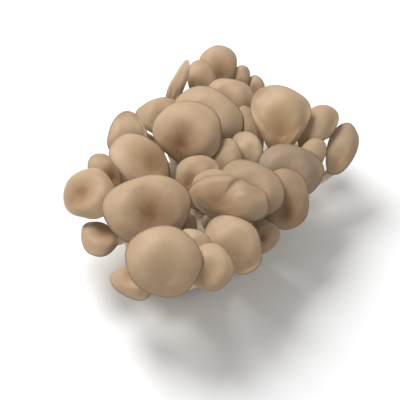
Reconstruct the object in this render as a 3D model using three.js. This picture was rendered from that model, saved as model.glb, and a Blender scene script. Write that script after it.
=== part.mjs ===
// Oyster mushroom cluster: many mushrooms growing from one shared butt.
// Units are millimetres, +Z is up, and the origin is the centre of the cut face that the cluster stands on.
// +Y is the way most of the caps reach, and +X is to their right.
// Each mushroom is one closed skin of rings: out over the cap, round its margin, back underneath and down
// the stem to its foot.
import * as THREE from "three";

// Overall sizes.
const SIZE = 1; // scales every length of the cluster

// The butt: the fused stem mass that every stem grows from, cut flat underneath.
const BUTT = {
  halfX: 60, // half width at its widest level
  halfY: 94, // half length at its widest level
  top: 48, // height of its crown
  girth: 27, // height of its widest level
  footShare: 0.66, // size of the cut face, as a share of the widest level
  segments: 28,
};

// Caps and stems.
const RIM = 2.6; // thickness of a cap at its margin
const FLESH = 6.5; // thickness of a big cap over its stem
const CROWN = 0.13; // rise of the cap's dome, as a share of its width
const CURL = 0.07; // turn-down of the margin, as a share of the width
const DIP = 0.1; // depth of the hollow over the stem, as a share of the width
const BIG_CAP = 60; // width of the caps that carry the full flesh
const SMALL_FLESH = 0.45; // share of the full flesh that the smallest caps tend to
const WAVE = 0.03; // waviness of a margin, as a share of the cap's half size
const STEM_TAPER = 0.85; // radius at the foot, as a share of the radius under the cap
const STEM_DROP = 0.32; // how far a stem keeps straight at either end, as a share of its length
const SPREAD = { x: 107, y: 168 }; // the stems' feet share out the butt as their caps do this half area
const JOIN_GAP = 0.3; // clearance between a stem's foot and the butt
const NOTCH_SPREAD = 0.22; // half width of a notch in a margin, in radians
const SEGMENTS = [[30, 12], [48, 14], [100, 16]]; // caps up to each width have so many segments

// Rings over the top of a cap, as shares of the way from the hollow to the margin.
const TOP_RINGS = [0.34, 0.68, 0.92];
const UNDER_RING = 0.6;
const UNDER_RIM_RING = 0.93;
const STEM_RINGS = [0, 0.36, 0.7, 1];

// One line for each mushroom, from the front of the cluster to its back, then the low ones round its edge.
// at: the hollow over its stem, with its height above the butt's crown.
// lean: the way the cap reaches, clockwise from +Y, then how far its far margin and right side are tipped up.
// cap: from the hollow to the far margin, from the hollow to the near margin, the width across, how far the
// far margin lies to the right of the hollow, and the widening towards the far margin.
// stem: its radius under the cap. foot: shift of the stem's foot over the butt.
// notch: where the margin is notched, in degrees from the far point to the right, and how deep, as a share
// of the cap's half size. detail: a number of segments of its own.
const MUSHROOMS = [
  { at: [41, -126, 47], lean: [-40, 27, 2], cap: [45, 14, 62, -3, 0.15], stem: 8 },
  { at: [64, -100, 40], lean: [-2, 29, -2], cap: [26, 12, 37, -4, 0.13], stem: 6 },
  { at: [44, -91, 35], lean: [-27, 31, 3], cap: [28, 12, 32, -2, 0.08], stem: 5 },
  { at: [-8, -74, 47], lean: [-51, 28, 3], cap: [35, 26, 74, -2, 0.07], stem: 9 },
  { at: [10, -59, 23], lean: [20, 10, -10], cap: [18, 10, 22, -3, 0.15], stem: 5 },
  { at: [73, -66, 30], lean: [-17, 32, 6], cap: [36, 10, 50, -15, 0.11], stem: 8 },
  { at: [35, -36, 46], lean: [-8, 27, -2], cap: [30, 10, 68, 11, 0], stem: 8, notch: [12, 0.16], detail: 20 },
  { at: [17, -18, 43], lean: [-30, 22, 7], cap: [16, 9, 35, 2, 0.05], stem: 5 },
  { at: [76, -32, 25], lean: [-20, 21, -15], cap: [18, 13, 25, 3, 0.3], stem: 5 },
  { at: [46, -9, 35], lean: [-2, 28, 5], cap: [35, 15, 62, -5, 0.07], stem: 8 },
  { at: [-4, -18, 33], lean: [-14, 26, 0], cap: [28, 9, 35, 5, 0.08], stem: 6 },
  { at: [78, 5, 24], lean: [-36, 24, -5], cap: [41, 13, 44, 2, 0], stem: 7 },
  { at: [-30, 8, 42], lean: [-4, 28, 0], cap: [42, 12, 63, -1, 0], stem: 9 },
  { at: [10, 12, 31], lean: [-20, 26, 0], cap: [29, 14, 29, 1, 0.05], stem: 6 },
  { at: [-37, -23, 36], lean: [-120, 30, 5], cap: [41, 20, 60, 8, -0.13], stem: 8 },
  { at: [-78, -77, 30], lean: [30, 18, 0], cap: [29, 15, 53, 1, 0], stem: 7 },
  { at: [-67, -2, 26], lean: [-98, 26, 10], cap: [31, 13, 40, 9, 0.4], stem: 7 },
  { at: [-70, -39, 20], lean: [-75, 18, 5], cap: [27, 9, 24, 0, 0.15], stem: 5 },
  { at: [59, 32, 26], lean: [-4, 22, -15], cap: [37, 14, 55, 4, 0.26], stem: 8 },
  { at: [22, 33, 24], lean: [0, 28, -6], cap: [28, 9, 33, -10, 0.12], stem: 6 },
  { at: [34, 73, 35], lean: [-26, 38, 1], cap: [42, 18, 48, -4, 0.5], stem: 7, foot: [4, 0] },
  { at: [-34, 42, 29], lean: [4, 23, -8], cap: [42, 10, 66, 1, 0], stem: 9 },
  { at: [-63, 37, 24], lean: [-57, 20, 4], cap: [27, 9, 40, -1, 0.19], stem: 7 },
  { at: [16, 61, 14], lean: [-55, 30, 0], cap: [42, 4, 24, 2, 0], stem: 5, foot: [-8, -2] },
  { at: [67, 63, 23], lean: [-4, 24, -5], cap: [27, 8, 22, -1, 0.15], stem: 5 },
  { at: [52, 86, 25], lean: [3, 25, -7], cap: [38, 8, 28, 3, 0.39], stem: 5, foot: [3, 2] },
  { at: [83, 88, 9], lean: [-16, 28, -10], cap: [40, 8, 26, 3, 0.2], stem: 5 },
  { at: [-76, 67, 22], lean: [30, 58, 0], cap: [38, 8, 17, -7, 0.1], stem: 5 },
  { at: [-29, 80, 30], lean: [-12, 24, -4], cap: [27, 9, 44, 4, 0], stem: 7 },
  { at: [-51, 113, 27], lean: [-44, 32, 0], cap: [28, 10, 33, 0, 0.13], stem: 5, foot: [1, 0] },
  { at: [-34, 117, 16], lean: [-20, 35, -10], cap: [21, 6, 16, 0, 0.15], stem: 5, foot: [4, 0] },
  { at: [-55, 90, 27], lean: [-45, 30, 0], cap: [27, 9, 26, 0, 0.1], stem: 5, foot: [-2, 0] },
  { at: [-21, 125, 12], lean: [-29, 30, 0], cap: [15, 7, 16, -1, 0.15], stem: 5, foot: [5, 2] },
  { at: [-44, -90, 12], lean: [-140, 4, 0], cap: [20, 10, 38, 0, 0.15], stem: 6 },
  { at: [4, -114, 14], lean: [186, 2, 0], cap: [21, 10, 38, 0, 0.15], stem: 6 },
  { at: [40, 116, 6], lean: [15, 8, 0], cap: [19, 9, 34, 0, 0.15], stem: 5 },
  { at: [-65, 17, 10], lean: [-80, 8, 0], cap: [22, 13, 23, 0, 0.15], stem: 5 },
  { at: [-70, -18, 5], lean: [-90, 15, 0], cap: [14, 8, 20, 0, 0.1], stem: 4 },
];

const degrees = THREE.MathUtils.degToRad;

// The point of the butt's skin in line with its middle and the given point, lifted off the skin by a gap.
function onButt(point, gap) {
  const middle = new THREE.Vector3(0, 0, BUTT.girth * SIZE);
  const half = new THREE.Vector3(BUTT.halfX, BUTT.halfY, BUTT.top - BUTT.girth).multiplyScalar(SIZE);
  const ray = point.clone().sub(middle);
  const reach = ray.clone().divide(half).length();
  const skin = ray.divideScalar(reach);
  const normal = skin.clone().divide(half).divide(half).normalize();
  return { point: skin.add(middle).addScaledVector(normal, gap), normal };
}

// The stem's foot: the cap's place drawn in towards the axis, dropped on the butt.
function footOf(m) {
  const [shiftX, shiftY] = m.foot ?? [0, 0];
  const x = ((m.at[0] * BUTT.halfX) / SPREAD.x + shiftX) * SIZE;
  const y = ((m.at[1] * BUTT.halfY) / SPREAD.y + shiftY) * SIZE;
  const middleZ = BUTT.girth * SIZE;
  const level = Math.hypot(x / BUTT.halfX, y / BUTT.halfY) / SIZE;
  const z = middleZ + (BUTT.top - BUTT.girth) * SIZE * Math.sqrt(Math.max(0.04, 1 - level * level));
  return onButt(new THREE.Vector3(x, y, z), JOIN_GAP);
}

// The outline, thickness and height of a cap, in a frame with X to its right, Y along its reach and Z up.
function capShape(m, index) {
  const [reach, back, width, side] = m.cap.slice(0, 4).map((length) => length * SIZE);
  const fan = m.cap[4];
  const halfLength = (reach + back) / 2;
  const middle = (reach - back) / 2;
  const halfWidth = width / 2;
  const fullFlesh = Math.min(1, SMALL_FLESH + ((1 - SMALL_FLESH) * m.cap[2]) / BIG_CAP);
  const flesh = FLESH * SIZE * fullFlesh;
  const rim = RIM * SIZE;
  const hollow = { long: 0.3 * width, wide: 0.2 * width };

  function cut(angle) {
    const [middleOfCut, depth] = m.notch ?? [0, 0];
    const turned = angle - degrees(middleOfCut);
    const off = Math.atan2(Math.sin(turned), Math.cos(turned));
    return depth * Math.exp(-((off / NOTCH_SPREAD) ** 2));
  }
  function outline(angle) {
    const wave = Math.cos(3 * angle + index) + 0.6 * Math.sin(5 * angle + 2 * index);
    const size = 1 + WAVE * wave - cut(angle);
    const across = Math.sin(angle) * (1 + fan * Math.cos(angle));
    const x = side * 0.5 * (1 + Math.cos(angle)) + halfWidth * across * size;
    const y = middle + halfLength * Math.cos(angle) * size;
    return new THREE.Vector2(x, y);
  }
  function dome(x, y) {
    const out = Math.hypot((x - side * 0.5) / halfWidth, (y - middle) / halfLength);
    const turned = Math.max(0, (Math.min(out, 1) - 0.6) / 0.4);
    return width * (CROWN * (1 - Math.min(out, 1) ** 2) - CURL * turned ** 2);
  }
  function dip(x, y) {
    return DIP * width * Math.exp(-((x / hollow.wide) ** 2) - (y / hollow.long) ** 2);
  }
  const level = dome(0, 0) - dip(0, 0);
  return {
    outline,
    flesh,
    rim,
    top: (x, y) => dome(x, y) - dip(x, y) - level,
    under: (x, y, share) => {
      const thick = rim + (flesh - rim) * (1 - share);
      return Math.min(dome(x, y) - thick, dome(x, y) - dip(x, y) - rim) - level;
    },
  };
}

// The rings of one mushroom, from the hollow of its cap to its foot, in its own frame.
function mushroomRings(m, index, foot) {
  const shape = capShape(m, index);
  const segments = m.detail ?? SEGMENTS.find(([width]) => m.cap[2] <= width)[1];
  const angles = Array.from({ length: segments }, (_, k) => (2 * Math.PI * k) / segments);
  const ringAt = (share, height, grow = 0) =>
    angles.map((angle) => {
      const edge = shape.outline(angle);
      const point = edge.clone().multiplyScalar(share).addScaledVector(edge.clone().normalize(), grow);
      return new THREE.Vector3(point.x, point.y, height(point.x, point.y));
    });

  const top = TOP_RINGS.map((share) => ringAt(share, shape.top));
  const margin = ringAt(1, (x, y) => shape.top(x, y) - shape.rim / 2, shape.rim / 4);
  const underRim = ringAt(UNDER_RIM_RING, (x, y) => shape.under(x, y, 1));
  const under = ringAt(UNDER_RING, (x, y) => shape.under(x, y, UNDER_RING));

  // The stem hangs from under the hollow, straight down at first, and meets the butt square on.
  const radius = m.stem * SIZE;
  const start = new THREE.Vector3(0, 0, -shape.flesh - 0.5 * radius);
  const length = start.distanceTo(foot.point);
  const spine = new THREE.CubicBezierCurve3(
    start,
    start.clone().addScaledVector(foot.down, STEM_DROP * length),
    foot.point.clone().addScaledVector(foot.normal, STEM_DROP * length),
    foot.point,
  );
  const stem = STEM_RINGS.map((way) => {
    const centre = spine.getPoint(way);
    const along = spine.getTangent(way);
    const right = new THREE.Vector3(1, 0, 0);
    right.addScaledVector(along, -right.dot(along)).normalize();
    const ahead = right.clone().cross(along);
    const size = radius * (1 + (STEM_TAPER - 1) * way);
    return angles.map((angle) =>
      centre
        .clone()
        .addScaledVector(right, size * Math.sin(angle))
        .addScaledVector(ahead, size * Math.cos(angle)),
    );
  });
  const flare = under.map((point, k) => {
    const inner = stem[0][k];
    return inner.clone().lerp(point, 0.4).setZ(THREE.MathUtils.lerp(inner.z, point.z, 0.62));
  });
  stem[stem.length - 1] = stem.at(-1).map((point) => foot.land(point));
  return [...top, margin, underRim, under, flare, ...stem];
}

// A closed skin from a first point, rings that run clockwise as seen from that point, and a last point.
function skinOf(first, rings, last) {
  const points = [first, ...rings.flat(), last];
  const count = rings[0].length;
  const id = (ring, k) => 1 + ring * count + (k % count);
  const faces = [];
  for (let k = 0; k < count; k++) {
    faces.push(0, id(0, k + 1), id(0, k));
    for (let ring = 0; ring + 1 < rings.length; ring++) {
      faces.push(id(ring, k), id(ring, k + 1), id(ring + 1, k + 1));
      faces.push(id(ring, k), id(ring + 1, k + 1), id(ring + 1, k));
    }
    faces.push(id(rings.length - 1, k), id(rings.length - 1, k + 1), points.length - 1);
  }
  const geometry = new THREE.BufferGeometry().setFromPoints(points);
  geometry.setIndex(faces);
  geometry.computeVertexNormals();
  return geometry;
}

function mushroom(m, index) {
  const mesh = new THREE.Mesh(new THREE.BufferGeometry(), capMaterial);
  mesh.name = `mushroom_${String(index + 1).padStart(2, "0")}`;
  const [x, y, height] = m.at;
  mesh.position.set(x, y, BUTT.top + height).multiplyScalar(SIZE);
  const [turn, rise, roll] = m.lean.map(degrees);
  mesh.rotation.set(rise, -roll, -turn, "ZXY");
  mesh.updateMatrix();

  const toOwn = mesh.matrix.clone().invert();
  const landed = footOf(m);
  const foot = {
    point: landed.point.clone().applyMatrix4(toOwn),
    normal: landed.normal.clone().transformDirection(toOwn),
    down: new THREE.Vector3(0, 0, -1).transformDirection(toOwn),
    land: (point) => onButt(point.clone().applyMatrix4(mesh.matrix), JOIN_GAP).point.applyMatrix4(toOwn),
  };
  mesh.geometry = skinOf(new THREE.Vector3(), mushroomRings(m, index, foot), foot.point);
  return mesh;
}

// The butt is a lathe turned about the cluster's axis, then stretched along Y.
function butt() {
  const wide = BUTT.halfX;
  const rise = BUTT.top - BUTT.girth;
  const crown = new THREE.EllipseCurve(0, BUTT.girth, wide, rise, 0, Math.PI / 2).getPoints(8);
  crown[crown.length - 1].x = 0;
  const flank = new THREE.QuadraticBezierCurve(
    new THREE.Vector2(wide * BUTT.footShare, 0),
    new THREE.Vector2(wide, BUTT.girth / 3),
    new THREE.Vector2(wide, BUTT.girth),
  ).getPoints(3);
  const profile = [new THREE.Vector2(0, 0), ...flank, ...crown.slice(1)];
  const geometry = new THREE.LatheGeometry(profile, BUTT.segments);
  geometry.rotateX(Math.PI / 2);
  geometry.scale(SIZE, (SIZE * BUTT.halfY) / BUTT.halfX, SIZE);
  const mesh = new THREE.Mesh(geometry, buttMaterial);
  mesh.name = "butt";
  return mesh;
}

const capMaterial = new THREE.MeshStandardMaterial({ color: 0xb99b78, roughness: 0.6, metalness: 0 });
const buttMaterial = new THREE.MeshStandardMaterial({ color: 0xe6dcc8, roughness: 0.85, metalness: 0 });

const cluster = new THREE.Group();
cluster.add(butt(), ...MUSHROOMS.map(mushroom));

export default cluster;
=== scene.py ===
"""Oyster mushroom cluster: smooth caps with inrolled margins, gilled undersides, stems and a fused butt."""

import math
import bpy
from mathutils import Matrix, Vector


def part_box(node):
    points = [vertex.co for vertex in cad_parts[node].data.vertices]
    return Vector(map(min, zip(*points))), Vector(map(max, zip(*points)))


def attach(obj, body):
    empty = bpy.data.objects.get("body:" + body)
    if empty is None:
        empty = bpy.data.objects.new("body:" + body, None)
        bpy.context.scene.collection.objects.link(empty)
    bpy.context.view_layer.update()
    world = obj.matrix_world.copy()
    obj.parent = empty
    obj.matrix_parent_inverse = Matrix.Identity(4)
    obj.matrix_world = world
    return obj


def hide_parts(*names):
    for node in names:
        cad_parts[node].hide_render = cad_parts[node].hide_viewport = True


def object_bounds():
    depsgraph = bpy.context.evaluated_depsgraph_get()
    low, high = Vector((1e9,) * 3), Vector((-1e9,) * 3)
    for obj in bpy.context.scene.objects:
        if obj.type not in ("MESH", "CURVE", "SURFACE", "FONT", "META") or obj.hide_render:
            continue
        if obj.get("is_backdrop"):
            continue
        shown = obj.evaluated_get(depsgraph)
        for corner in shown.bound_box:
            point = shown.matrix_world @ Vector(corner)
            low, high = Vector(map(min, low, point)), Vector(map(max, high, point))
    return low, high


bl_info = {
    "name": "Oyster mushroom cluster",
    "version": (1, 0, 0),
    "blender": (4, 5, 0),
    "location": "3D View > Sidebar > Mushrooms",
    "description": "Grows the finished caps, gills, stems and butt round the packed solids",
    "category": "Object",
}

import bmesh
import bpy
import numpy as np
from bpy.props import FloatProperty, FloatVectorProperty, IntProperty, PointerProperty
from bpy.types import Operator, Panel, PropertyGroup
from mathutils import Quaternion, Vector

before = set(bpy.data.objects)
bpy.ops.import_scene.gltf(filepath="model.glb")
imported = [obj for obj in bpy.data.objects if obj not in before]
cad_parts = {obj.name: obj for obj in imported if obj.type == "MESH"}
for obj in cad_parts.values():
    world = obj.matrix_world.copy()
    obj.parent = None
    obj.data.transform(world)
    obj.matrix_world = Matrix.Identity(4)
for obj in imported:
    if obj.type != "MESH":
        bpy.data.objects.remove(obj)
CAD_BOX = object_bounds()

MM = 0.001
BUTT = "butt"
MUSHROOMS = sorted(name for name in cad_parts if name.startswith("mushroom"))

# Rows of the fine skin between neighbouring rings of a packed mushroom: from the hollow out over the top,
# round the margin, back under the cap and down the stem.
ROWS = (5, 7, 6, 5, 5, 8, 4, 4, 6, 5, 5)
MARGIN_RING = 4
UNDER_RING = 5
FLARE_RING = 7
STEM_RING = 8
FOOT_RING = 11
MOST_EDGES = 8  # at a packed point that isn't a pole
POINTS_PER_GILL = 4
BUTT_POINTS = 360
BUTT_ROWS = 3
BUTT_CUT_ROWS = 5

# Share of a gill's depth that a tiny cap keeps, and share of the flesh that a gill may cut through.
LEAST_GILL = 0.4
GILL_SHARE = 0.42
FULL_CAP = 50 * MM

# Swelling of a stem's foot and unevenness of its girth, as shares of its radius.
FOOT_SWELL = 0.35
STEM_LOBING = 0.12

# Share of the way from the hollow to the margin's middle that the brown runs, and the shares of half the
# cap's width that the brown and its darkest part fade over. The margin's painted shade and its pale bloom
# fade over part of a ring.
STAIN_REACH = 0.45
HOLLOW_FADE = 0.52
CORE_FADE = 0.28
RIM_FADE = 0.34
FIBRE_CREEP = 0.2

# What the camera looks at: a step from the middle of the box, and a share of its height.
AIM_STEP = 7 * MM, -12 * MM
AIM_HEIGHT = 0.53
KEY_PLACE = Vector((-0.75, 0.15, 1.15))
KEY_SIZE = 0.7
FILL_PLACE = Vector((0.9, -1.1, 0.9))
FILL_SIZE = 1.4
FLOOR_REACH = 4

# Values that soft noise is smoothed from.
LATTICE = np.random.default_rng(11).uniform(-1, 1, (32, 32, 32))

# Looks of single mushrooms: tone is deeper skin, warmth is tan against grey, stain is how brown the hollow
# is, rust is how red and dark that brown is, and bloom is a pale margin against a margin of painted shade.
LOOKS = {
    "mushroom_01": (0.35, 0.9, 0.15, 0.2, 0.0),
    "mushroom_02": (0.3, 0.9, 0.3, 0.2, 0.3),
    "mushroom_03": (0.25, 0.85, 0.2, 0.2, 0.2),
    "mushroom_04": (0.28, 0.85, 0.95, 0.8, 0.0),
    "mushroom_05": (0.6, 0.8, 0.5, 0.5, 0.0),
    "mushroom_06": (0.2, 0.85, 0.3, 0.3, 0.1),
    "mushroom_07": (0.55, 0.75, 0.75, 0.6, 0.0),
    "mushroom_08": (0.5, 0.8, 0.3, 0.3, 0.5),
    # Its stain and rust are pushed dark as painted shade deep inside its funnel.
    "mushroom_09": (0.9, 0.7, 1.0, 0.95, 0.5),
    "mushroom_10": (0.8, 0.7, 0.5, 0.5, 0.0),
    "mushroom_11": (0.45, 0.8, 0.95, 0.6, 0.3),
    # Its stain and rust are pushed dark as painted shade deep inside its funnel.
    "mushroom_12": (0.8, 0.7, 0.95, 0.85, 0.0),
    "mushroom_13": (0.38, 0.85, 1.0, 0.9, 0.0),
    "mushroom_14": (0.25, 0.85, 0.25, 0.2, 0.1),
    "mushroom_15": (0.3, 0.95, 0.75, 0.05, 0.2),
    "mushroom_16": (0.45, 0.95, 1.0, 0.7, 0.8),
    "mushroom_17": (0.35, 0.85, 0.35, 0.3, 0.1),
    "mushroom_18": (0.6, 0.8, 1.0, 0.85, 0.1),
    "mushroom_19": (0.8, 0.25, 0.3, 0.4, 0.0),
    "mushroom_20": (0.25, 0.85, 0.2, 0.2, 0.1),
    "mushroom_21": (0.22, 0.95, 0.8, 0.0, 0.3),
    "mushroom_22": (0.4, 0.8, 0.25, 0.3, 0.0),
    "mushroom_23": (0.45, 0.85, 0.4, 0.4, 0.0),
    "mushroom_28": (0.35, 0.85, 0.4, 0.6, 0.6),
    "mushroom_29": (0.3, 0.85, 0.25, 0.2, 0.0),
    "mushroom_30": (0.35, 0.85, 0.9, 0.5, 0.2),
    "mushroom_32": (0.35, 0.85, 0.5, 0.4, 0.3),
}
# The lowest and highest looks that the other mushrooms are drawn between.
MIDDLING = ((0.3, 0.75, 0.2, 0.2, 0.0), (0.55, 0.9, 0.6, 0.6, 0.3))

# Bearing, clockwise from +Y, of the crease that runs from the margin of a lobed cap to its hollow.
CREASES = {"mushroom_07": math.radians(4)}


def length_property(name, description, default):
    return FloatProperty(name=name, description=description, default=default, min=0, unit="LENGTH")


def angle_property(name, description, degrees):
    return FloatProperty(name=name, description=description, default=math.radians(degrees), subtype="ANGLE")


def power_property(name, description, default):
    return FloatProperty(name=name, description=description, default=default, min=0, unit="POWER")


def colour_property(name, description, default):
    return FloatVectorProperty(
        name=name, description=description, default=default, subtype="COLOR", size=3, min=0, max=1
    )


class MushroomSizes(PropertyGroup):
    gill_pitch: length_property("Gill pitch", "Spacing of the gills at the margin", 2.2 * MM)
    gill_depth: length_property("Gill depth", "Height of a full gill under a big cap", 2.0 * MM)
    relief: length_property("Relief", "Height of the soft unevenness of a cap", 0.7 * MM)
    lobing: length_property("Lobing", "Depth of the crease behind a notch", 2.2 * MM)
    rooting: length_property("Rooting", "Depth to which a stem runs into the butt", 2.5 * MM)
    flute_depth: length_property("Flute depth", "Depth of the creases between fused stems", 2.6 * MM)
    flutes: IntProperty(name="Flutes", description="Number of fused stems round the butt", default=34, min=3)
    collar: length_property("Collar", "Height of the flesh drawn up round each stem", 4.0 * MM)


class MushroomColours(PropertyGroup):
    pale: colour_property("Pale skin", "Lightest cap skin", (0.50, 0.36, 0.23))
    dark: colour_property("Deep skin", "Deepest cap skin", (0.34, 0.228, 0.132))
    grey: colour_property("Grey skin", "Skin of the greyer caps", (0.27, 0.20, 0.14))
    stain: colour_property("Stain", "Orange tan of the hollows", (0.42, 0.25, 0.115))
    rust: colour_property("Rust", "Red brown of the darkest hollows", (0.15, 0.072, 0.036))
    # Painted shade: the thin dark line where a cap's rounded margin turns down away from the light; the
    # crease of a notched cap gets it too.
    margin: colour_property("Margin", "Thin dark edge of a cap", (0.08, 0.046, 0.024))
    bloom: colour_property("Bloom", "Pale edge of a cap", (0.66, 0.57, 0.45))
    flesh: colour_property("Flesh", "Stems and gills", (0.62, 0.52, 0.38))
    gill_shade: colour_property("Gill shade", "Flesh in the depth between gills", (0.38, 0.27, 0.165))
    butt: colour_property("Butt", "Fused flesh at the foot", (0.68, 0.60, 0.47))
    # Painted shade: the dark deep inside the cluster, laid on the butt's top between the stems and down each
    # stem towards its foot.
    crown: colour_property("Crown", "Flesh between the stems", (0.27, 0.185, 0.11))
    soil: colour_property("Soil", "Growing medium left at the cut", (0.15, 0.08, 0.038))
    floor: colour_property("Floor", "Floor of the stage", (0.86, 0.86, 0.86))


class StudioSettings(PropertyGroup):
    azimuth: angle_property("Azimuth", "From the front towards +X", 29.5)
    elevation: angle_property("Elevation", "Above the floor", 49.6)
    roll: angle_property("Roll", "Tilt of the camera", 2.5)
    distance: length_property("Distance", "From the aim to the camera", 1.706)
    lens: FloatProperty(name="Lens", description="Focal length in millimetres", default=177.0)
    key: power_property("Key light", "Power of the main soft box", 22.0)
    fill: power_property("Fill light", "Power of the fill soft box", 3.0)
    sky: FloatProperty(name="Sky", description="Strength of the light from all round", default=0.46)


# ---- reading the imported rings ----


def ring_grid(node):
    """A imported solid's first pole, its rings from there as an array, and its last pole, top to bottom."""
    bm = bmesh.new()
    bm.from_mesh(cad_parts[node].data)
    bmesh.ops.remove_doubles(bm, verts=bm.verts, dist=0.001 * MM)
    poles = [v for v in bm.verts if len(v.link_edges) > MOST_EDGES]
    first = max(poles, key=lambda v: v.co.z)
    follow = {}
    for face in first.link_faces:
        corners = list(face.verts)
        at = corners.index(first)
        follow[corners[at - 1]] = corners[(at + 1) % 3]
    start = next(iter(follow))
    ring = [start]
    while follow[ring[-1]] is not start:
        ring.append(follow[ring[-1]])
    rings, seen = [ring], {first, *ring}
    while True:
        near = [{e.other_vert(v) for e in v.link_edges} - seen for v in rings[-1]]
        ring = [(near[k - 1] & near[k]).pop() for k in range(len(near))]
        if len(set(ring)) == 1:
            break
        twists = [ring[k:] + ring[:k] for k in (-1, 0, 1)]
        ring = min(twists, key=lambda r: sum((a.co - b.co).length for a, b in zip(r, rings[-1])))
        rings.append(ring)
        seen.update(ring)
    grid = np.array([[v.co[:] for v in r] for r in rings])
    top, bottom = np.array(first.co), np.array(ring[0].co)
    bm.free()
    return top, grid, bottom


# ---- smooth interpolation ----


def round_spline(grid, count):
    """Each closed ring of points as a smooth closed curve through them, read at count even places."""
    size = grid.shape[1]
    wave = 2 * math.pi * np.arange(size) / size
    softening = (4 + 2 * np.cos(wave)) / 6
    control = np.fft.ifft(np.fft.fft(grid, axis=1) / softening[None, :, None], axis=1).real
    place = np.arange(count) * size / count
    at = np.floor(place).astype(int)
    f = (place - at)[None, :, None]
    inner = (3 * f**3 - 6 * f**2 + 4) / 6, (1 + 3 * f + 3 * f**2 - 3 * f**3) / 6
    weights = (1 - f) ** 3 / 6, *inner, f**3 / 6
    return sum(w * control[:, (at + k) % size] for k, w in zip((-1, 0, 1, 2), weights))


def spline_matrix(knots, places):
    """The matrix that takes values at the knots to a natural cubic spline's values at the places."""
    count = len(knots)
    gap = np.diff(knots)
    left, right = np.eye(count), np.zeros((count, count))
    for k in range(1, count - 1):
        left[k, k - 1 : k + 2] = gap[k - 1], 2 * (gap[k - 1] + gap[k]), gap[k]
        right[k, k - 1 : k + 2] = 6 / gap[k - 1], -6 / gap[k - 1] - 6 / gap[k], 6 / gap[k]
    bend = np.linalg.solve(left, right)
    at = np.clip(np.searchsorted(knots, places, side="right") - 1, 0, count - 2)
    h = gap[at][:, None]
    b = (places - knots[at])[:, None] / h
    a = 1 - b
    unit = np.eye(count)
    curve = ((a**3 - a) * bend[at] + (b**3 - b) * bend[at + 1]) * h**2 / 6
    return a * unit[at] + b * unit[at + 1] + curve


def fine_skin(first, grid, count, rows):
    """Rings of points smoothed round and along. Returns the fine rings, each one's place counted in rings,
    and its distance along the skin from the first pole."""
    rings = round_spline(grid, count)
    half = count // 2
    pole = np.broadcast_to(first, (1, count, 3))
    line = np.concatenate([pole, rings])
    step = np.linalg.norm(np.diff(line, axis=0), axis=2).mean(axis=1)
    knots = np.concatenate([[0], np.cumsum(step)])
    beyond = np.roll(line[1:3], half, axis=1)[::-1]
    place = np.concatenate([np.arange(1, n + 1) / n + k for k, n in enumerate(rows)])
    along = np.interp(place, np.arange(len(knots)), knots)
    full = np.concatenate([-knots[2:0:-1], knots])
    matrix = spline_matrix(full, along)
    points = np.einsum("ij,jkl->ikl", matrix, np.concatenate([beyond, line]))
    return points, place, along


def outward(points):
    """Unit normals of the rings' skin, for rings that turn clockwise as seen from the first pole."""
    across = np.roll(points, -1, axis=1) - np.roll(points, 1, axis=1)
    down = np.gradient(points, axis=0)
    normal = np.cross(across, down)
    return normal / np.maximum(np.linalg.norm(normal, axis=2, keepdims=True), 1e-12)


def smooth(value, low, high):
    """A soft step from 0 at the low value to 1 at the high one."""
    t = np.clip((value - low) / (high - low), 0, 1)
    return t * t * (3 - 2 * t)


def unevenness(points, scale, shift):
    """Soft noise at an array of points, about -1 to 1, with features of the given size."""
    place = points / scale + shift
    cell = np.floor(place).astype(int)
    f = place - cell
    f = f * f * f * (f * (f * 6 - 15) + 10)
    value = 0
    for corner in np.ndindex(2, 2, 2):
        weight = np.prod(np.where(corner, f, 1 - f), axis=-1)
        i, j, k = np.moveaxis((cell + corner) % len(LATTICE), -1, 0)
        value = value + weight * LATTICE[i, j, k]
    return value


# ---- meshes ----


def ball(name, rows, count):
    """A mesh of a unit ball: rings between two poles."""
    bm = bmesh.new()
    bmesh.ops.create_grid(bm, x_segments=count, y_segments=rows + 1, size=1)
    border = [v for v in bm.verts if v.is_boundary]
    for v in bm.verts:
        turn, fall = math.pi * v.co.x, math.pi * (1 - v.co.y) / 2
        v.co = math.sin(fall) * math.cos(turn), math.sin(fall) * math.sin(turn), math.cos(fall)
    bmesh.ops.remove_doubles(bm, verts=border, dist=1e-5)
    mesh = bpy.data.meshes.new(name)
    bm.to_mesh(mesh)
    bm.free()
    return mesh


def skin_object(name, points, values):
    """A closed skin of rings of points. values holds an array for each attribute, rings by places."""
    rows, count = points.shape[:2]
    mesh = ball(name, rows, count)
    unit = np.empty(len(mesh.vertices) * 3)
    mesh.vertices.foreach_get("co", unit)
    unit = unit.reshape(-1, 3)
    row = np.rint(np.arccos(np.clip(unit[:, 2], -1, 1)) / math.pi * (rows + 1)).astype(int) - 1
    turn = np.arctan2(-unit[:, 1], unit[:, 0]) / (2 * math.pi) * count
    column = np.rint(turn).astype(int) % count
    inner = np.clip(row, 0, rows - 1)
    place = points[inner, column]
    place[row < 0] = points[0].mean(axis=0)
    place[row >= rows] = points[-1].mean(axis=0)
    mesh.vertices.foreach_set("co", place.ravel())
    mesh.polygons.foreach_set("use_smooth", np.ones(len(mesh.polygons), bool))
    for key, value in values.items():
        data = value[inner, column]
        kind, field = ("FLOAT_VECTOR", "vector") if data.ndim == 2 else ("FLOAT", "value")
        mesh.attributes.new(key, kind, "POINT").data.foreach_set(field, data.astype(np.float32).ravel())
    mesh.update()
    obj = bpy.data.objects.new(name, mesh)
    bpy.context.scene.collection.objects.link(obj)
    return obj


def keep_inside(points, low, high):
    """Draws the points in on each axis, by the share they stand out of the box on either side."""
    low, high = np.array(low), np.array(high)
    middle = (low + high) / 2
    flat = points.reshape(-1, 3)
    reach = np.maximum(flat.max(axis=0) - middle, middle - flat.min(axis=0))
    return middle + (points - middle) * np.minimum(1, (high - low) / 2 / reach)


def adopt(obj, node, material):
    """Gives a skin its material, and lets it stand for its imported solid."""
    obj.data.materials.append(material)
    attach(obj, "root")
    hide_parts(node)


# ---- mushrooms ----


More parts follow.
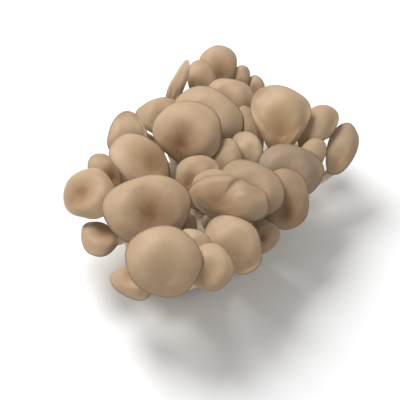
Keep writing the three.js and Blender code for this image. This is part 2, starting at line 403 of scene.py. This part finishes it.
def gill_ridges(place, count, rng):
    """Height of the gills, 0 to 1, rings by places round: full gills between shorter ones."""
    gills = count // POINTS_PER_GILL
    ends = np.full(gills, FLARE_RING - 0.9)
    ends[::2] = FLARE_RING - 0.3
    ends[::4] = STEM_RING + 0.8
    ends += rng.uniform(-0.3, 0.3, gills)
    ridge = np.zeros((len(place), count))
    ridge[:, ::POINTS_PER_GILL] = 1 - smooth(place[:, None], ends - 0.5, ends)
    return ridge


def past_bearing(points, place, bearing):
    """How far each place round is clockwise past a bearing from the hollow, in radians."""
    edge = points[np.searchsorted(place, MARGIN_RING)] - points[0].mean(axis=0)
    return (np.arctan2(edge[:, 0], edge[:, 1]) - bearing + math.pi) % (2 * math.pi) - math.pi


def from_line(points, start, end):
    """Distance of points from the stretch of line between two ends."""
    line = end - start
    share = np.clip((points - start) @ line / (line @ line), 0, 1)
    return np.linalg.norm(points - start - share[..., None] * line, axis=-1)


def flesh_thickness(points, place):
    """Distance from each place under the cap to the nearest of the skin above it, over the same radius."""
    top = points[place <= MARGIN_RING]
    deep = np.full(points.shape[:2], np.inf)
    under = (place > MARGIN_RING) & (place < STEM_RING)
    gap = np.linalg.norm(points[under][:, None] - top[None], axis=3)
    deep[under] = gap.min(axis=1)
    return deep


def cap_up(margin):
    """The cap's own up, from the loop of its margin."""
    loop = margin - margin.mean(axis=0)
    up = np.cross(np.roll(loop, -1, axis=0), loop).sum(axis=0)
    return up / np.linalg.norm(up)


def swell_cap(points, place, up, width, height, rng):
    """Soft unevenness, which both faces of the cap share."""
    cap = 1 - smooth(place, FLARE_RING - 1, STEM_RING)
    swell = unevenness(points, 0.4 * width, rng.uniform(0, 30, 3)) - 0.4
    swell = swell + 0.4 * unevenness(points, 0.16 * width, rng.uniform(0, 30, 3))
    return points + (height * cap[:, None] * swell)[..., None] * up


def crease_cap(points, place, up, bearing, depth):
    """A notched margin runs on over the cap as a crease, with the lobe to one side of it swollen."""
    past = past_bearing(points, place, bearing)
    inward = smooth(place, 0.5, 2.8) * (1 - smooth(place, MARGIN_RING + 0.1, UNDER_RING))
    crease = np.exp(-((past / 0.1) ** 2)) * inward[:, None]
    lobe = np.exp(-(((past + 0.4) / 0.3) ** 2)) * inward[:, None]
    return points + (depth * (0.8 * lobe - crease))[..., None] * up, crease


def shape_stem(points, place, rng):
    """Stems are a little lobed, and spread where they root."""
    stem = smooth(place, STEM_RING, STEM_RING + 1)[:, None]
    centre = points.mean(axis=1, keepdims=True)
    lobes = unevenness(points * (1, 1, 0.25), 6 * MM, rng.uniform(0, 30, 3))
    spread = FOOT_SWELL * smooth(place, FOOT_RING - 1.4, FOOT_RING)
    grow = 1 + stem * STEM_LOBING * lobes + spread[:, None]
    return centre + (points - centre) * np.where(stem > 0, grow, 1)[..., None]


def cut_gills(points, place, full, rng):
    """Gills cut into the flesh, from inside the margin to a little way down the stem. Also returns the share
    of the full depth that each place is cut by."""
    ridge = gill_ridges(place, points.shape[1], rng)
    cut = smooth(place, UNDER_RING, UNDER_RING + 0.6) * (1 - smooth(place, STEM_RING - 0.6, STEM_RING + 1))
    between = cut[:, None] * (1 - ridge)
    depth = np.minimum(full, GILL_SHARE * flesh_thickness(points, place))
    return points - (depth * between)[..., None] * outward(points), between


def grow_mushroom(node, index, sizes, material):
    """One mushroom's skin: its cap's relief, its gills, its stem and the values its material reads."""
    rng = np.random.default_rng(100 + index)
    hub, grid, foot = ring_grid(node)
    root = foot - grid[FOOT_RING - 2].mean(axis=0)
    root *= sizes.rooting / np.linalg.norm(root)
    grid[FOOT_RING - 1] += root
    margin = grid[MARGIN_RING - 1]
    girth = np.linalg.norm(margin - np.roll(margin, 1, axis=0), axis=1).sum()
    width = girth / math.pi
    share = min(1.0, width / FULL_CAP)
    count = POINTS_PER_GILL * 4 * round(girth / sizes.gill_pitch / 4)
    points, place, along = fine_skin(hub, grid, count, ROWS)

    up = cap_up(margin)
    points = swell_cap(points, place, up, width, sizes.relief * share, rng)
    crease = np.zeros(points.shape[:2])
    if node in CREASES:
        points, crease = crease_cap(points, place, up, CREASES[node], sizes.lobing)
    points = shape_stem(points, place, rng)
    gill_depth = sizes.gill_depth * (LEAST_GILL + (1 - LEAST_GILL) * share)
    points, between = cut_gills(points, place, gill_depth, rng)
    points = keep_inside(points, *CAD_BOX)

    turn = 2 * math.pi * np.arange(count) / count
    ones = np.ones((len(place), count))
    share_out = along / np.interp(MARGIN_RING, place, along)
    tone, warmth, stain, rust, bloom = LOOKS.get(node, rng.uniform(*MIDDLING))
    # Painted shade at the margin: this band and the crease of a notched cap take the dark margin colour,
    # unless the cap's bloom makes the edge pale.
    edge = np.exp(-(((place - MARGIN_RING + 0.1) / RIM_FADE) ** 2))[:, None]
    away = from_line(points, hub, hub + STAIN_REACH * (margin.mean(axis=0) - hub)) / (width / 2)
    # Fibres run out from the hollow: the vector turns with the bearing and creeps along the skin.
    fibre = ones * np.cos(turn), ones * np.sin(turn), ones * share_out[:, None] * FIBRE_CREEP + index
    values = {
        "hollow": np.exp(-((away / HOLLOW_FADE) ** 2)),
        "core": np.exp(-((away / CORE_FADE) ** 2)),
        "rim_shade_and_bloom": np.maximum(edge, 0.6 * crease),
        "flesh": ones * smooth(place, MARGIN_RING + 0.35, MARGIN_RING + 0.8)[:, None],
        "ridge": 1 - between,
        # Painted shade down each stem towards the butt, where the cluster is dark inside.
        "stem_foot_shade": ones * smooth(place, STEM_RING, FOOT_RING)[:, None],
        "tone": ones * tone,
        "warmth": ones * warmth,
        "stain": ones * stain,
        "rust": ones * rust,
        "bloom": ones * bloom,
        "fibre": np.stack(fibre, axis=2),
    }
    obj = skin_object(node + "_skin", points, values)
    adopt(obj, node, material)


# ---- materials ----


def socket(group, name, kind, is_input, default=None):
    made = group.interface.new_socket(name=name, in_out="INPUT" if is_input else "OUTPUT", socket_type=kind)
    if default is not None:
        made.default_value = default


def patches_group():
    """Soft patches of a given size, with a given contrast, from 0 to 1."""
    group = bpy.data.node_groups.new("Soft patches", "ShaderNodeTree")
    socket(group, "Vector", "NodeSocketVector", True)
    socket(group, "Scale", "NodeSocketFloat", True, 40.0)
    socket(group, "Contrast", "NodeSocketFloat", True, 1.5)
    socket(group, "Patches", "NodeSocketFloat", False)
    nodes, links = group.nodes, group.links
    entry = nodes.new("NodeGroupInput")
    leave = nodes.new("NodeGroupOutput")
    clouds = nodes.new("ShaderNodeTexNoise")
    clouds.inputs["Detail"].default_value = 4
    links.new(entry.outputs["Vector"], clouds.inputs["Vector"])
    links.new(entry.outputs["Scale"], clouds.inputs["Scale"])
    centre = nodes.new("ShaderNodeMath")
    centre.operation = "SUBTRACT"
    centre.inputs[1].default_value = 0.5
    links.new(clouds.outputs["Fac"], centre.inputs[0])
    spread = nodes.new("ShaderNodeMath")
    spread.operation = "MULTIPLY_ADD"
    spread.use_clamp = True
    spread.inputs[2].default_value = 0.5
    links.new(centre.outputs[0], spread.inputs[0])
    links.new(entry.outputs["Contrast"], spread.inputs[1])
    links.new(spread.outputs[0], leave.inputs["Patches"])
    return group


class Wiring:
    """Short ways to add and join shader nodes of one material."""

    def __init__(self, name):
        self.material = bpy.data.materials.new(name)
        self.material.use_nodes = True
        self.nodes = self.material.node_tree.nodes
        self.links = self.material.node_tree.links
        self.shader = self.nodes["Principled BSDF"]

    def feed(self, target, value):
        if isinstance(value, bpy.types.NodeSocket):
            self.links.new(value, target)
        else:
            target.default_value = (*value, 1) if hasattr(value, "__len__") and len(value) == 3 else value

    def attribute(self, name, output="Fac"):
        node = self.nodes.new("ShaderNodeAttribute")
        node.attribute_name = name
        return node.outputs[output]

    def object_place(self):
        return self.nodes.new("ShaderNodeTexCoord").outputs["Object"]

    def maths(self, operation, *values, clamp=False):
        node = self.nodes.new("ShaderNodeMath")
        node.operation = operation
        node.use_clamp = clamp
        for target, value in zip(node.inputs, values):
            self.feed(target, value)
        return node.outputs[0]

    def blend(self, share, a, b):
        node = self.nodes.new("ShaderNodeMix")
        node.data_type = "RGBA"
        for target, value in zip((node.inputs[0], node.inputs[6], node.inputs[7]), (share, a, b)):
            self.feed(target, value)
        return node.outputs[2]

    def patches(self, group, vector, scale=40, contrast=1.5):
        node = self.nodes.new("ShaderNodeGroup")
        node.node_tree = group
        self.links.new(vector, node.inputs["Vector"])
        node.inputs["Scale"].default_value = scale
        node.inputs["Contrast"].default_value = contrast
        return node.outputs["Patches"]

    def bump(self, height, distance, strength, normal=None):
        node = self.nodes.new("ShaderNodeBump")
        node.inputs["Distance"].default_value = distance
        node.inputs["Strength"].default_value = strength
        self.links.new(height, node.inputs["Height"])
        if normal is not None:
            self.links.new(normal, node.inputs["Normal"])
        return node.outputs["Normal"]

    def finish(self, colour, roughness, normal, **constants):
        self.links.new(colour, self.shader.inputs["Base Color"])
        self.links.new(roughness, self.shader.inputs["Roughness"])
        self.links.new(normal, self.shader.inputs["Normal"])
        for name, value in constants.items():
            self.shader.inputs[name.replace("_", " ")].default_value = value
        return self.material


def mushroom_material(colours, patches):
    w = Wiring("Mushroom skin and flesh")
    place = w.object_place()
    fibre = w.attribute("fibre", "Vector")
    broad = w.patches(patches, place, scale=34, contrast=2.4)
    mottle = w.patches(patches, place, scale=110, contrast=2.0)
    fine = w.patches(patches, place, scale=420, contrast=1.6)
    streaks = w.patches(patches, fibre, scale=7.0, contrast=2.2)
    threads = w.patches(patches, fibre, scale=24.0, contrast=2.4)

    depth = w.maths("MULTIPLY_ADD", broad, 0.4, w.maths("MULTIPLY", w.attribute("tone"), 0.8), clamp=True)
    depth = w.maths("MULTIPLY_ADD", w.maths("SUBTRACT", mottle, 0.5), 0.16, depth, clamp=True)
    depth = w.maths("MULTIPLY_ADD", w.maths("SUBTRACT", threads, 0.5), 0.1, depth, clamp=True)
    skin = w.blend(depth, tuple(colours.pale), tuple(colours.dark))
    skin = w.blend(w.maths("SUBTRACT", 1.0, w.attribute("warmth"), clamp=True), skin, tuple(colours.grey))

    deep = w.maths("MULTIPLY_ADD", w.attribute("core"), 0.3, 0.7)
    brown = w.maths("MULTIPLY", w.attribute("rust"), deep, clamp=True)
    brown = w.blend(brown, tuple(colours.stain), tuple(colours.rust))
    ragged = w.maths("MULTIPLY_ADD", mottle, 0.5, w.maths("MULTIPLY_ADD", streaks, 0.25, 0.62))
    amount = w.maths("MULTIPLY", w.attribute("hollow"), w.attribute("stain"))
    amount = w.maths("MULTIPLY", amount, ragged, clamp=True)
    skin = w.blend(amount, skin, brown)
    # The rim band paints shade along the turned-down margin and the crease; caps with bloom get a pale edge
    # there instead.
    edge = w.blend(w.attribute("bloom"), tuple(colours.margin), tuple(colours.bloom))
    skin = w.blend(w.maths("MULTIPLY", w.attribute("rim_shade_and_bloom"), 0.9), skin, edge)

    between = w.maths("SUBTRACT", 1.0, w.attribute("ridge"))
    flesh = w.blend(w.maths("MULTIPLY", between, 0.5), tuple(colours.flesh), tuple(colours.gill_shade))
    flesh = w.blend(w.maths("MULTIPLY", mottle, 0.3), flesh, tuple(colours.butt))
    # Painted shade: stems darken towards their feet, deep inside the cluster.
    flesh = w.blend(w.maths("MULTIPLY", w.attribute("stem_foot_shade"), 0.5), flesh, tuple(colours.crown))
    colour = w.blend(w.attribute("flesh"), skin, flesh)

    rough = w.maths("MULTIPLY_ADD", broad, 0.14, w.maths("MULTIPLY_ADD", w.attribute("flesh"), 0.2, 0.5))
    normal = w.bump(threads, 0.12 * MM, 0.3)
    normal = w.bump(fine, 0.12 * MM, 0.25, normal)
    normal = w.bump(mottle, 0.5 * MM, 0.25, normal)
    return w.finish(
        colour,
        rough,
        normal,
        Specular_IOR_Level=0.28,
        Subsurface_Weight=0.1,
        Subsurface_Scale=3 * MM,
    )


def butt_material(colours, patches):
    w = Wiring("Butt flesh")
    place = w.object_place()
    broad = w.patches(patches, place, scale=45, contrast=2.4)
    fine = w.patches(patches, place, scale=420, contrast=2.2)
    grains = w.patches(patches, place, scale=900, contrast=3.0)
    colour = w.blend(w.maths("MULTIPLY", broad, 0.5), tuple(colours.butt), tuple(colours.flesh))
    # Painted shade on the butt's top between the stems.
    colour = w.blend(w.maths("MULTIPLY", w.attribute("crown"), 0.7), colour, tuple(colours.crown))
    colour = w.blend(w.maths("MULTIPLY", w.attribute("crease"), 0.55), colour, tuple(colours.gill_shade))
    dirt = w.maths("MULTIPLY", w.attribute("soil"), w.maths("MULTIPLY_ADD", grains, 0.9, broad))
    dirt = w.maths("SUBTRACT", dirt, 0.35, clamp=True)
    colour = w.blend(dirt, colour, tuple(colours.soil))
    rough = w.maths("MULTIPLY_ADD", fine, 0.15, 0.72)
    normal = w.bump(fine, 0.6 * MM, 0.6)
    normal = w.bump(grains, 0.3 * MM, 0.4, normal)
    return w.finish(
        colour,
        rough,
        normal,
        Specular_IOR_Level=0.25,
        Subsurface_Weight=0.1,
        Subsurface_Scale=3 * MM,
    )


def floor_material(colours):
    material = bpy.data.materials.new("Floor")
    material.use_nodes = True
    shader = material.node_tree.nodes["Principled BSDF"]
    shader.inputs["Base Color"].default_value = (*colours.floor, 1)
    shader.inputs["Roughness"].default_value = 0.7
    return material


# ---- butt ----


def grow_butt(sizes, material):
    """The butt's skin: flutes between fused stems, lumps, and flesh drawn up round each stem's foot."""
    rng = np.random.default_rng(7)
    crown, grid, _ = ring_grid(BUTT)
    count = BUTT_POINTS
    rows = (BUTT_ROWS,) * (len(grid) - 1) + (BUTT_CUT_ROWS,)
    points, place, _ = fine_skin(crown, grid, count, rows)
    low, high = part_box(BUTT)
    normal = outward(points)
    height = (points[..., 2] - low.z) / (high.z - low.z)

    # Stems fused side by side: rounded ridges with creases between them, which die out towards the cut.
    edges = np.sort((np.arange(sizes.flutes) + rng.uniform(-0.3, 0.3, sizes.flutes)) / sizes.flutes * count)
    column = np.arange(count) + 0.3 * count / sizes.flutes * unevenness(points, 22 * MM, 3.0)
    column = column % count
    after = np.searchsorted(edges, column) % sizes.flutes
    start = edges[after - 1]
    span = (edges[after] - start) % count
    t = ((column - start) % count) / np.maximum(span, 1e-6)
    crease = (1 - np.sqrt(np.clip(1 - (2 * t - 1) ** 2, 0, 1))) ** 1.3
    patchy = np.clip(0.75 + 0.6 * unevenness(points, 16 * MM, 9.0), 0, 1)
    band = smooth(height, 0.12, 0.6) * smooth(place, 2.0, 5.0)[:, None] * patchy
    points = points - (sizes.flute_depth * crease * band)[..., None] * normal
    lumps = 2.2 * (unevenness(points, 20 * MM, 5.0) - 0.5)
    lumps = lumps + 1.1 * unevenness(points, 7 * MM, 8.0) + 0.5 * unevenness(points, 3 * MM, 4.0)
    points = points + (MM * lumps * smooth(height, 0, 0.15))[..., None] * normal

    collar = np.zeros(points.shape[:2])
    for node in MUSHROOMS:
        _, rings, root = ring_grid(node)
        radius = np.linalg.norm(rings[-1] - root, axis=1).mean()
        away = np.linalg.norm(points - root, axis=2)
        collar = np.maximum(collar, np.exp(-(np.maximum(away - radius, 0) / (5 * MM)) ** 1.2))
    points = points + (sizes.collar * (collar - 0.15))[..., None] * normal
    points[..., 2] = np.maximum(points[..., 2], low.z)
    points = keep_inside(points, *CAD_BOX)
    values = {
        "crease": crease * band,
        # Painted shade on the butt's top, away from each stem's collar.
        "crown": smooth(height, 0.82, 1.0) * (1 - collar),
        "soil": smooth(1 - height, 0.55, 0.98),
    }
    obj = skin_object("butt_skin", points, values)
    adopt(obj, BUTT, material)


# ---- operators ----


def shared_group():
    return bpy.data.node_groups.get("Soft patches") or patches_group()


class CLUSTER_OT_mushrooms(Operator):
    """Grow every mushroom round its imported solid"""

    bl_idname = "cluster.mushrooms"
    bl_label = "Mushrooms"

    def execute(self, context):
        scene = context.scene
        material = mushroom_material(scene.mushroom_colours, shared_group())
        for index, node in enumerate(MUSHROOMS):
            grow_mushroom(node, index, scene.mushroom_sizes, material)
        return {"FINISHED"}


class CLUSTER_OT_butt(Operator):
    """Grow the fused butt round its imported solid"""

    bl_idname = "cluster.butt"
    bl_label = "Butt"

    def execute(self, context):
        scene = context.scene
        grow_butt(scene.mushroom_sizes, butt_material(scene.mushroom_colours, shared_group()))
        return {"FINISHED"}


def soft_box(name, power, size, place, aim):
    light = bpy.data.lights.new(name, "AREA")
    light.energy = power
    light.shape = "SQUARE"
    light.size = size
    obj = bpy.data.objects.new(name, light)
    obj.location = place
    obj.rotation_euler = (aim - place).to_track_quat("-Z", "Y").to_euler()
    bpy.context.scene.collection.objects.link(obj)


class CLUSTER_OT_stage(Operator):
    """Set the floor, the lights and the camera"""

    bl_idname = "cluster.stage"
    bl_label = "Stage"

    def execute(self, context):
        scene = context.scene
        studio = scene.studio_settings
        low, high = CAD_BOX
        middle = (low + high) / 2
        bm = bmesh.new()
        bmesh.ops.create_grid(bm, x_segments=1, y_segments=1, size=FLOOR_REACH)
        mesh = bpy.data.meshes.new("floor")
        bm.to_mesh(mesh)
        bm.free()
        floor = bpy.data.objects.new("floor", mesh)
        floor.location.z = low.z
        floor.data.materials.append(floor_material(scene.mushroom_colours))
        scene.collection.objects.link(floor)
        floor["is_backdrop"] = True

        height = low.z + AIM_HEIGHT * (high.z - low.z)
        aim = Vector((middle.x + AIM_STEP[0], middle.y + AIM_STEP[1], height))
        side, tip = studio.azimuth, studio.elevation
        way = Vector((math.sin(side) * math.cos(tip), -math.cos(side) * math.cos(tip), math.sin(tip)))
        lens = bpy.data.cameras.new("camera")
        lens.lens = studio.lens
        lens.clip_end = 20
        camera = bpy.data.objects.new("camera", lens)
        camera.location = aim + studio.distance * way
        camera.rotation_mode = "QUATERNION"
        camera.rotation_quaternion = way.to_track_quat("Z", "Y") @ Quaternion((0, 0, 1), studio.roll)
        scene.collection.objects.link(camera)
        scene.camera = camera

        soft_box("key", studio.key, KEY_SIZE, aim + KEY_PLACE, aim)
        soft_box("fill", studio.fill, FILL_SIZE, aim + FILL_PLACE, aim)
        world = bpy.data.worlds.new("sky")
        world.use_nodes = True
        world.node_tree.nodes["Background"].inputs["Color"].default_value = (1, 1, 1, 1)
        world.node_tree.nodes["Background"].inputs["Strength"].default_value = studio.sky
        scene.world = world
        scene.view_settings.view_transform = "Standard"
        return {"FINISHED"}


class CLUSTER_PT_panel(Panel):
    """Sizes, colours and steps of the cluster"""

    bl_label = "Oyster mushroom cluster"
    bl_idname = "CLUSTER_PT_panel"
    bl_space_type = "VIEW_3D"
    bl_region_type = "UI"
    bl_category = "Mushrooms"

    def draw(self, context):
        scene = context.scene
        for step in STEPS:
            self.layout.operator(step.bl_idname)
        for group in (scene.mushroom_sizes, scene.mushroom_colours, scene.studio_settings):
            for key in group.bl_rna.properties.keys():
                if key not in ("rna_type", "name"):
                    self.layout.prop(group, key)


STEPS = (CLUSTER_OT_stage, CLUSTER_OT_butt, CLUSTER_OT_mushrooms)
CLASSES = (MushroomSizes, MushroomColours, StudioSettings, *STEPS, CLUSTER_PT_panel)


def register():
    for cls in CLASSES:
        bpy.utils.register_class(cls)
    bpy.types.Scene.mushroom_sizes = PointerProperty(type=MushroomSizes)
    bpy.types.Scene.mushroom_colours = PointerProperty(type=MushroomColours)
    bpy.types.Scene.studio_settings = PointerProperty(type=StudioSettings)


def unregister():
    for name in ("mushroom_sizes", "mushroom_colours", "studio_settings"):
        delattr(bpy.types.Scene, name)
    for cls in reversed(CLASSES):
        bpy.utils.unregister_class(cls)


def main():
    register()
    bpy.ops.cluster.stage()
    bpy.ops.cluster.butt()
    bpy.ops.cluster.mushrooms()
    boxes = {"cad": CAD_BOX, "visual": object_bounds()}
    boxes = {name: [list(corner) for corner in box] for name, box in boxes.items()}


if __name__ == "__main__":
    main()
